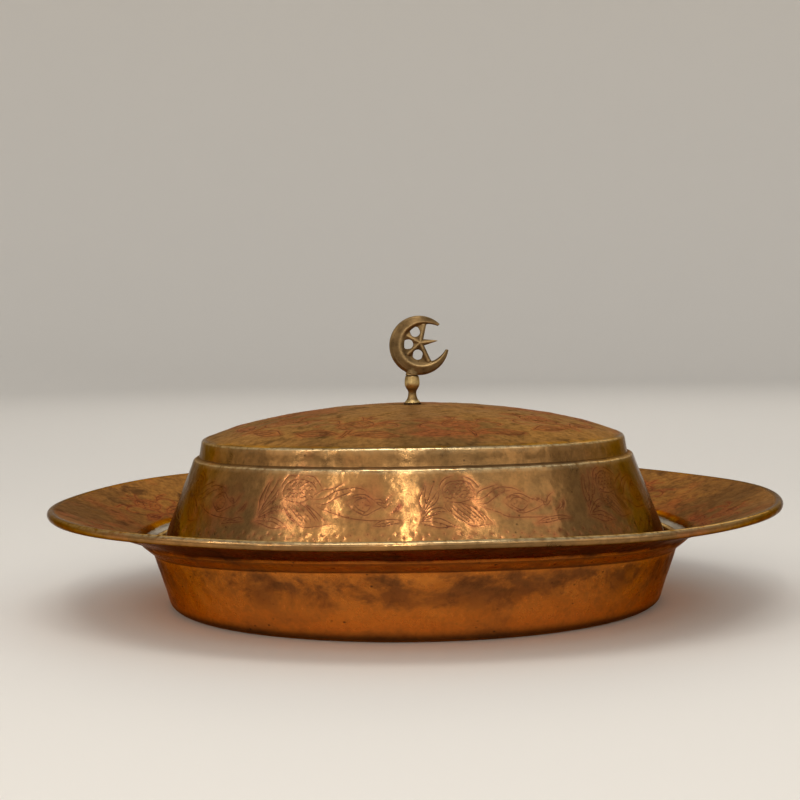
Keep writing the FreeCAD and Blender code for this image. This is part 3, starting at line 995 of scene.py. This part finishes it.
def dish_net():
    net = Net(dish_section)
    base = dish_section.start["base"]
    near = net.ring(base, 0.0)
    middle = net.add(np.zeros(1), 0.0, 0.0)
    net.fill(middle, near, scatter(dish_section, 4.0, base, spacing=9.0, seed=4), 0.0)
    outwards = {"base": 5, "to ledge foot": 15, "ledge foot": 3, "to collar foot": 3, "collar foot": 3,
                "to mouth": 1, "mouth": 4, "to roll": 14, "roll": 6}
    near = net.rings(near, outwards, 0.0)
    far = net.ring(dish_section.end["roll"], DISH_SHEET)
    net.bridge(near, far)
    lip = net.rings(far, {"roll": 14}, DISH_SHEET, True)
    mouth = net.ring(dish_section.end["mouth"], DISH_SHEET)
    spots = scatter(dish_section, dish_section.end["mouth"], dish_section.start["roll"], spacing=2.9, seed=5)
    net.fill(mouth, lip, rim_cuts.among(spots), DISH_SHEET)
    back = {"mouth": 5, "to mouth": 1, "collar foot": 3, "to collar foot": 3, "ledge foot": 3,
            "to ledge foot": 9, "base": 5}
    near = net.rings(mouth, back, DISH_SHEET, True)
    middle = net.add(np.zeros(1), 0.0, DISH_SHEET)
    net.fill(middle, near, scatter(dish_section, 4.0, base, spacing=5.5, seed=6), DISH_SHEET)
    return net


# %% [markdown]
# Only the flat of the base is true. The ledge sags a little to the left and right, and the thin rim
# waves up and down more than anything else, as broad brims do after years of being lifted by them.

# %% The dish, worked


def dish_spring(points):
    """A base that is flat, a ledge that isn't quite level, and a rim that waves."""
    x, y, z = points.T
    turn = np.arctan2(y, x)
    reach = np.hypot(x, y)
    rim = np.clip((reach - 182.0) / 50.0, 0.0, 1.0)
    sag = np.interp(z, (2.0, 38.0, 46.0, 64.0), (0.0, 3.4, 3.4, 1.0))
    wave = rim * (0.55 * np.sin(3 * turn + 0.8) + 0.40 * np.sin(5 * turn + 2.4) + 0.25 * np.sin(8 * turn))
    out = z / 60.0 * (0.40 * np.cos(2 * turn + 1.9) + 0.25 * np.cos(3 * turn))
    return sprung(points, turn, out, wave - sag * np.cos(2 * turn))


def make_dish():
    net = dish_net()
    turn, along, out = np.concatenate(net.rows).T
    face = dish_section.solid(turn, along)
    end, start = dish_section.end, dish_section.start
    steps = [end["base"], end["base"] + 8, start["ledge foot"] - 3, start["ledge foot"], end["collar foot"],
             start["mouth"], start["roll"] - 4, start["roll"]]
    calm = np.interp(along, steps, [0.0, 1.0, 1.0, 0.3, 0.3, 1.0, 1.0, 0.0])
    blows = Hammering(dish_section, end["base"], start["roll"], spacing=11.0, seed=22)
    dent = (blows.height(face) + sway(face)) * calm
    depth, groove, halo = rim_cuts.measure(dish_section.solid(turn, along, DISH_SHEET))
    inside = out > DISH_SHEET / 2
    upper = inside * (along > end["mouth"]) * (along < start["roll"])
    points = dish_spring(dish_section.solid(turn, along, out + dent - depth * upper))
    tinned_part = np.interp(along, [end["collar foot"] - 3.0, end["collar foot"] + 5.0], [1.0, 0.0]) * inside
    skin = np.where(inside, 1.0, np.interp(along, [start["roll"] - 6.0, start["roll"]], [0.0, 1.0]))
    foot = start["ledge foot"]
    # Painted shade under the rim: none low on the wall, strong just below the ledge, weaker on the ledge,
    # full on the rim's underside.
    steps = [foot - 24.0, foot - 3.0, foot, end["collar foot"], start["mouth"]]
    wall = np.interp(along, steps, [0.0, 0.85, 0.2, 0.3, 1.0]) * (1.0 - inside)
    # Dark lines at the creases under the rim: dirt and painted shade.
    ledge_dirt_and_shade = near_to(along, end["ledge foot"] + 0.3, 0.8) * 0.9
    ledge_dirt_and_shade = ledge_dirt_and_shade + near_to(along, start["collar foot"], 0.8) * 0.6
    # A painted contact shadow round the base's bend, where the dish meets the floor.
    contact_shadow = near_to(along, (start["base"] + end["base"]) / 2 + 1.5, 3.6) * 0.95
    # Rubbing and a painted highlight line along the rim's edge.
    lip = near_to(along, start["roll"] + 0.9, 0.7) * inside
    numbers = {
        "groove": groove * upper,
        "halo": halo * upper,
        "wear_and_sheen": np.clip(lip * 0.8, 0, 1),
        "dirt_and_shade": np.clip(ledge_dirt_and_shade * (1.0 - inside) + contact_shadow, 0, 1),
        "tinned": tinned_part,
        "skin": skin,
        "shade under rim": wall,
        "matt": upper * 0.8,
    }
    set_up("dish", points, net.faces, numbers, "dish", "copper_dish", DISH_COPPER, "dish_basin")


make_dish()

# %% [markdown]
# ## The wires
# Both wires lie hidden in the rolled edges. They follow every sag and wave of their sheet, so each is
# drawn as a round ring and then put through the same spring.

# %% The wires


def drawn_wire():
    finish = Finish("drawn wire")
    lines = finish.noise(0.004, 3.0, 0.6, stretch=(1.0, 1.0, 4.0), shift=2.0)
    base = finish.blend(lines.over(0.4, 0.7), (0.50, 0.20, 0.07), (0.30, 0.13, 0.05))
    return finish.done(base=base, roughness=0.3 + 0.2 * lines, metallic=1.0)


DRAWN_WIRE, WIRE_SIDES = drawn_wire(), 10


def turned_about(outline, count, closed=True):
    """Points and faces of an outline turned about the axis, from complex numbers in millimetres."""
    outline = np.asarray(outline)
    sides = len(outline)
    turn = np.repeat(np.arange(count) * 2 * math.pi / count, sides)
    radius, height = np.tile(outline.real, count), np.tile(outline.imag, count)
    here = np.arange(count * sides).reshape(count, sides)
    ahead = np.roll(here, -1, axis=0)
    faces = np.stack([here, np.roll(here, -1, axis=1), np.roll(ahead, -1, axis=1), ahead], axis=2)
    if not closed:
        faces = faces[:, :-1]
    points = np.stack([radius * np.cos(turn), radius * np.sin(turn), height], axis=1)
    return points, faces.reshape(-1, 4).tolist()


def make_wire(name, body, centre, radius, spring, node):
    around = np.arange(WIRE_SIDES) * 2 * math.pi / WIRE_SIDES
    points, faces = turned_about(centre + radius * np.exp(1j * around), count=360)
    set_up(name, spring(points), faces, {}, body, "wire", DRAWN_WIRE, node)


make_wire("rim_wire_drawn", "dish", RIM_WIRE, RIM_WIRE_RADIUS, dish_spring, "rim_wire")
make_wire("lid_edge_wire_drawn", "lid", LID_WIRE, LID_WIRE_RADIUS, lid_spring, "lid_edge_wire")

# %% [markdown]
# ## The knob
# The crescent and its five-armed star are one small casting, filed up by hand. The solid gives the
# outline; casting and filing give soft edges, a ridge round each horn and a roof along each arm. So the
# solid's mesh is rebuilt from small even faces, smoothed, and then raised and lowered by those rules.

# %% The casting
CRESCENT, CRESCENT_RADIUS, CRESCENT_BACK, HORN_TURN = 4.8 + 164.89j, 19.2, 198.0, 153.0
STAR, STAR_TURN, ARM_TURN = 5.5 + 166.59j, 6.0, 72.0
WEB_HALF, CAST_WEB_HALF = 1.15, 1.5
STEM_TOP, TANG_RADIUS = 145.59, 1.58


def rebuilt(source, size):
    """A solid's mesh in millimetres, made of small even faces and smoothed."""
    work = bpy.data.objects.new("work", source.data.copy())
    work.data.transform(Matrix.Scale(1 / MM, 4))
    bpy.context.collection.objects.link(work)
    skin = work.modifiers.new("even faces", "REMESH")
    skin.mode, skin.voxel_size = "VOXEL", size
    soft = work.modifiers.new("soft edges", "SMOOTH")
    soft.factor, soft.iterations = 0.5, 5
    made = bpy.data.meshes.new_from_object(work.evaluated_get(bpy.context.evaluated_depsgraph_get()))
    bpy.data.objects.remove(work)
    points = np.empty(len(made.vertices) * 3)
    made.vertices.foreach_get("co", points)
    return points.reshape(-1, 3), [list(face.vertices) for face in made.polygons]


def horn_ridges(place):
    """Where the horns are, how much their ridges raise the faces, and how far they are rubbed bright and
    painted with highlights.
    """
    arm = place - CRESCENT
    back = (np.degrees(np.angle(arm)) - CRESCENT_BACK + 180.0) % 360.0 - 180.0
    width = 1.8 + 7.9 * (1.0 - np.clip(abs(back) / HORN_TURN, 0.0, 1.0) ** 2.4)
    inset = (CRESCENT_RADIUS - abs(arm)) / width
    horn = (inset < 1.0) * (abs(back) < HORN_TURN + 4.0) * (place.imag > STEM_TOP + 0.4)
    built = np.interp(inset, (0.0, 0.26, 0.74, 1.0), (0.42, 1.0, 1.0, 0.42))
    ridged = np.interp(inset, (0.0, 0.06, 0.2, 0.45, 0.72, 1.0), (0.38, 0.60, 0.84, 0.96, 1.10, 0.42))
    rubbed_and_lit = near_to(inset, 0.72, 0.10) + np.clip(1.0 - inset / 0.12, 0.0, 1.0) * 0.6
    return horn, ridged / built, rubbed_and_lit


def star_arms(place):
    """How far out along the nearest arm of the star, how far beside it, and the way to that side."""
    away = place - STAR
    turn = (np.degrees(np.angle(away)) - STAR_TURN + ARM_TURN / 2) % ARM_TURN - ARM_TURN / 2
    turn = np.radians(turn)
    aside = np.sign(np.sin(turn)) * 1j * np.exp(1j * (np.angle(away) - turn))
    return abs(away) * np.cos(turn), abs(away) * abs(np.sin(turn)), aside


def filed(points):
    """The casting with its relief, and how far each point stands out, to be rubbed bright and painted with
    highlights.
    """
    x, y, z = points.T
    place = x + 1j * z
    horn, horn_rise, horn_rubbed_and_lit = horn_ridges(place)
    out, beside, aside = star_arms(place)
    web = (~horn) * (abs(place - CRESCENT) < 17.5) * (z > STEM_TOP + 6.2)
    roof = np.clip(1.0 - beside / np.interp(out, (0.0, 3.0, 12.2), (3.4, 2.9, 1.5)), 0.0, 1.0)
    ridge = np.interp(out, (0.0, 3.0, 12.0), (2.9, 2.6, 2.0))
    web_rise = (WEB_HALF + (ridge - WEB_HALF) * roof) / CAST_WEB_HALF
    rise = np.where(horn, horn_rise, np.where(web, web_rise, 1.0))
    fat = 0.35 * beside * np.clip((3.4 - beside) / 1.8, 0.0, 1.0) * np.clip(out / 3.0, 0.0, 1.0) * web
    place = place + fat * aside
    reach = np.hypot(place.real, y)
    tang = (place.imag < STEM_TOP) * (reach > 0.8)
    drawn_in = np.where(tang, TANG_RADIUS / np.maximum(reach, 0.1), 1.0)
    # Rubbed bright and painted with highlight lines: the horns' ridges and outer edges, and the ridge of each
    # star arm.
    rubbed_and_lit = horn * horn_rubbed_and_lit + web * (roof > 0.0) * near_to(beside, 0.0, 0.5)
    worked = np.stack([place.real * drawn_in, y * rise * drawn_in, place.imag], axis=1)
    return worked, np.clip(rubbed_and_lit, 0.0, 1.0)


def brass(name, fresh, old, dark, rough, wear_and_sheen):
    """Brass that is bright where it is rubbed and where highlights are painted, and brown elsewhere."""
    finish = Finish(name)
    clouds = finish.noise(0.012, 4.0, 0.6, shift=3.0).over(0.38, 0.66)
    grain = finish.noise(0.0016, 3.0, 0.7, shift=5.0)
    pits = (1.0 - finish.cells(0.0021, shift=6.0).over(0.08, 0.2)) * clouds
    rubbed_and_lit = finish.carried("crest_wear_and_sheen") * grain.over(0.2, 0.55) * wear_and_sheen
    darkest = tuple(0.3 * part for part in dark)
    base = finish.coats(old, (clouds, dark), (rubbed_and_lit, fresh), (pits * 0.8, darkest))
    height = finish.noise(0.0028, 3.0, 0.55, shift=2.0) * 0.7 + grain * 0.2 - 0.3 * pits
    return finish.done(base=base, roughness=rough + 0.14 * clouds + 0.10 * grain, metallic=1.0, edge=EDGE_ON,
                       normal=finish.relief(height, 0.00025))


CAST_BRASS = brass("cast brass", fresh=(0.46, 0.31, 0.14), old=(0.20, 0.125, 0.053),
                   dark=(0.10, 0.060, 0.025), rough=0.30, wear_and_sheen=0.8)
TURNED_BRASS = brass("turned brass", fresh=(0.66, 0.47, 0.20), old=(0.27, 0.17, 0.066),
                     dark=(0.14, 0.082, 0.03), rough=0.26, wear_and_sheen=0.9)

casting, faces = rebuilt(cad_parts["finial_crescent"], size=0.30)
casting, crest_wear_and_sheen = filed(casting)
set_up("crescent", casting, faces, {"crest_wear_and_sheen": crest_wear_and_sheen}, "lid", "cast_brass", CAST_BRASS, "finial_crescent")

# %% [markdown]
# The stem below the casting is turned on a lathe: a bell foot, a narrow neck and a round barrel that
# the fingers hold. They rub the barrel and the edge of the foot bright, and painted highlights lie
# there too.

# %% The stem
STEM_FOOT = 127.79
STEM_BORE, STEM_TOP_RADIUS, STEM_HEIGHT = 1.75, 2.6, 17.79
stem_side = smooth([
    (4.86, 0.0), (4.88, 0.5), (4.72, 0.9), (4.1, 1.6), (3.35, 2.8), (2.85, 4.4), (2.62, 6.0), (2.68, 7.2),
    (3.15, 8.5), (4.0, 9.8), (4.62, 11.2), (4.85, 12.8), (4.74, 14.6), (4.5, 16.2), (4.2, 17.3), (3.6, 17.75),
], step=0.4)
under_foot = [STEM_BORE + 0j, 3.4 + 0j]
top_and_bore = [STEM_TOP_RADIUS + STEM_HEIGHT * 1j, STEM_BORE + STEM_HEIGHT * 1j, STEM_BORE + 9j]
stem_outline = np.concatenate([under_foot, stem_side, top_and_bore]) + STEM_FOOT * 1j
stem, faces = turned_about(stem_outline, count=96)
height = stem[:, 2] - STEM_FOOT
# The barrel and the foot's edge are rubbed bright, with painted highlights in the same places.
crest_wear_and_sheen = np.clip(near_to(height, 12.8, 3.2) + near_to(height, 0.8, 1.0), 0.0, 1.0)
set_up("stem", stem, faces, {"crest_wear_and_sheen": crest_wear_and_sheen}, "lid", "turned_brass", TURNED_BRASS, "finial_stem")

# %% [markdown]
# ## Washers and nut
# These three stay as they were built. Both washers are finished nearly black, and the nut is only dull.

# %% Washers and nut


def small_part(name, base, dark, rough):
    finish = Finish(name)
    clouds = finish.noise(0.005, 4.0, 0.6, shift=1.0).over(0.35, 0.7)
    scratches = finish.noise(0.0015, 3.0, 0.6, stretch=(1.0, 1.0, 3.0), shift=4.0)
    return finish.done(base=finish.blend(clouds, base, dark), roughness=rough + 0.2 * scratches, metallic=1.0,
                       edge=EDGE_ON, normal=finish.relief(scratches, 0.0001))


DARK_WASHER = small_part("dark washer", (0.11, 0.062, 0.030), (0.045, 0.026, 0.014), rough=0.36)
NUT_BRASS = small_part("nut brass", (0.46, 0.31, 0.13), (0.28, 0.18, 0.07), rough=0.30)
as_built = {"finial_seat_washer": DARK_WASHER, "backing_washer": DARK_WASHER, "finial_nut": NUT_BRASS}
for node, material in as_built.items():
    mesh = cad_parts[node].data
    mesh.materials.clear()
    mesh.materials.append(material)
    print(node, "finished with", material.name)

# %% [markdown]
# ## Room and light
# A pale floor that curves up into a round wall stands for a studio sweep. Metal shows its room, so
# the sweep goes all the way round, and every side of the dish has something pale to reflect. Broad
# soft lamps in front, at both sides and behind light it evenly, and one overhead draws the thin lines
# along every edge. Narrow upright strips draw the bright broken streaks on the hammered skirt.

# %% Sweep and lamps
SWEEP_RADIUS, SWEEP_BEND, SWEEP_TOP = 2600, 900, 3200
floor_and_wall = [0.5 + 0j, 300 + 0j, 1200 + 0j, SWEEP_RADIUS + 0j]
floor_and_wall += list(bend(SWEEP_RADIUS + SWEEP_BEND * 1j, SWEEP_RADIUS + 0j, math.pi / 2)[1:])
floor_and_wall += [SWEEP_RADIUS + SWEEP_BEND + SWEEP_TOP * 1j]
points, faces = turned_about(floor_and_wall, count=96, closed=False)
sweep_mesh = mesh_of("sweep", points, faces, {})
sweep_mesh.flip_normals()
pale = Finish("pale sweep").done(base=(0.80, 0.765, 0.71, 1.0), roughness=0.8, metallic=0.0)
sweep = shown("sweep", sweep_mesh, pale)

LAMP_TARGET, LAMP_COLOUR = Vector((0.0, 0.0, 0.08)), (1.0, 0.95, 0.88)


def lamp(name, degrees, height, reach, size, watts):
    """A soft lamp, degrees to the right of the front and height degrees up, aimed at the dish."""
    light = bpy.data.lights.new(name, "AREA")
    light.shape, light.size, light.size_y = "RECTANGLE", size[0], size[1]
    light.energy, light.color = watts, LAMP_COLOUR
    made = bpy.data.objects.new(name, light)
    turn, rise = math.radians(degrees), math.radians(height)
    way = Vector((math.sin(turn) * math.cos(rise), -math.cos(turn) * math.cos(rise), math.sin(rise)))
    made.location = LAMP_TARGET + way * reach
    made.rotation_euler = way.to_track_quat("Z", "Y").to_euler()
    bpy.context.collection.objects.link(made)


lamp("soft front", -4.0, 28.0, 2.4, (3.20, 1.60), 9.3)
lamp("soft right", 54.0, 30.0, 2.4, (1.70, 1.50), 6.0)
lamp("soft left", -62.0, 30.0, 2.4, (1.70, 1.50), 4.0)
lamp("far left strip", -62.0, 30.0, 2.1, (0.04, 1.10), 2.2)
lamp("left strip", -43.0, 30.0, 2.1, (0.025, 1.10), 1.8)
lamp("front strip", -4.0, 32.0, 2.1, (0.035, 1.20), 4.2)
lamp("right strip", 30.0, 32.0, 2.1, (0.025, 1.10), 1.0)
lamp("overhead", -8.0, 70.0, 2.2, (1.60, 0.60), 11.5)
lamp("back lamp", 172.0, 29.0, 2.3, (2.40, 0.90), 6.0)

world = bpy.data.worlds.new("soft room")
world.use_nodes = True
background = world.node_tree.nodes["Background"].inputs
background["Color"].default_value = (0.92, 0.95, 1.0, 1.0)
background["Strength"].default_value = 0.52
bpy.context.scene.world = world
bpy.context.scene.view_settings.view_transform = "Standard"
